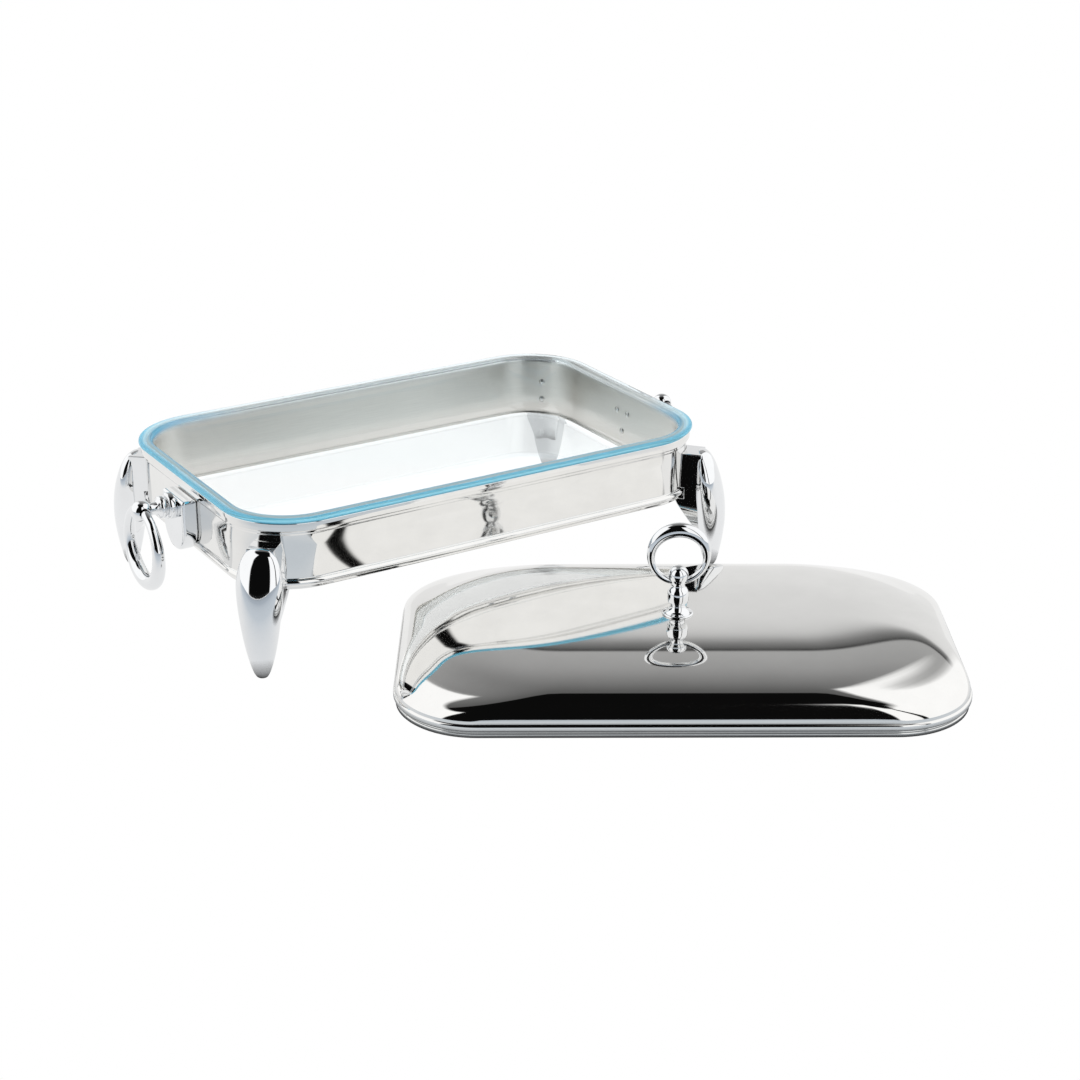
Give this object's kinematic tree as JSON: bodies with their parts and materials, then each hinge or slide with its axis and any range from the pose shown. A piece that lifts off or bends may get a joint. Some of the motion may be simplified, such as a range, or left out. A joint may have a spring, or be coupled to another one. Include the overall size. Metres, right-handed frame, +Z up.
{
  "type": "chafing dish",
  "caption": "Rectangular glass serving dish in a polished steel frame on cast legs, with drop-ring end handles and a separate domed lid with an upright ring knob.",
  "frame": {"origin": "on the table, under the middle of the frame band", "axes": "+X along the frame's long side towards the right end handle, +Y towards the frame's back long side, +Z up; the lid lies on the table in front, towards -Y"},
  "size_m": [0.5264, 0.5784, 0.1145],
  "materials": {
    "polished_steel": "mirror polished outside, fine brushed inside",
    "chromed_casting": "mirror chrome plate",
    "plain_steel": "satin",
    "clear_glass": "clear, pale blue-green at the edges"
  },
  "bodies": {
    "frame": {"frame_band": "polished_steel", "leg_front_left": "chromed_casting", "leg_front_right": "chromed_casting", "leg_back_left": "chromed_casting", "leg_back_right": "chromed_casting", "leg_rivets_front_left": "plain_steel", "leg_rivets_front_right": "plain_steel", "leg_rivets_back_left": "plain_steel", "leg_rivets_back_right": "plain_steel", "handle_rivets_left": "plain_steel", "handle_rivets_right": "plain_steel", "handle_bracket_left": "chromed_casting", "handle_bracket_right": "chromed_casting", "handle_post_left": "chromed_casting", "handle_post_right": "chromed_casting"},
    "dish": {"glass_dish": "clear_glass"},
    "lid": {"lid_shell": "polished_steel", "lid_knob_foot": "chromed_casting", "lid_knob_post": "chromed_casting", "lid_knob_ring": "chromed_casting", "lid_knob_screw": "plain_steel", "lid_knob_washer": "plain_steel"},
    "left_ring": {"handle_ring_left": "chromed_casting"},
    "right_ring": {"handle_ring_right": "chromed_casting"}
  },
  "joints": [
    {"name": "dish_lift", "type": "slide", "parent": "frame", "child": "dish", "axis": [0, 0, 1], "range_m": [0, 0.12]},
    {"name": "lid_carry", "type": "slide", "parent": "frame", "child": "lid", "axis": [-0.4512, -0.7392, 0.5], "range_m": [0, 0.25]},
    {"name": "left_ring_swing", "type": "hinge", "parent": "frame", "child": "left_ring", "pos_m": [-0.232, 0, 0.0932], "axis": [0, 1, 0], "range_deg": [-30, 160]},
    {"name": "right_ring_swing", "type": "hinge", "parent": "frame", "child": "right_ring", "pos_m": [0.232, 0, 0.0932], "axis": [0, -1, 0], "range_deg": [-30, 160]}
  ]
}
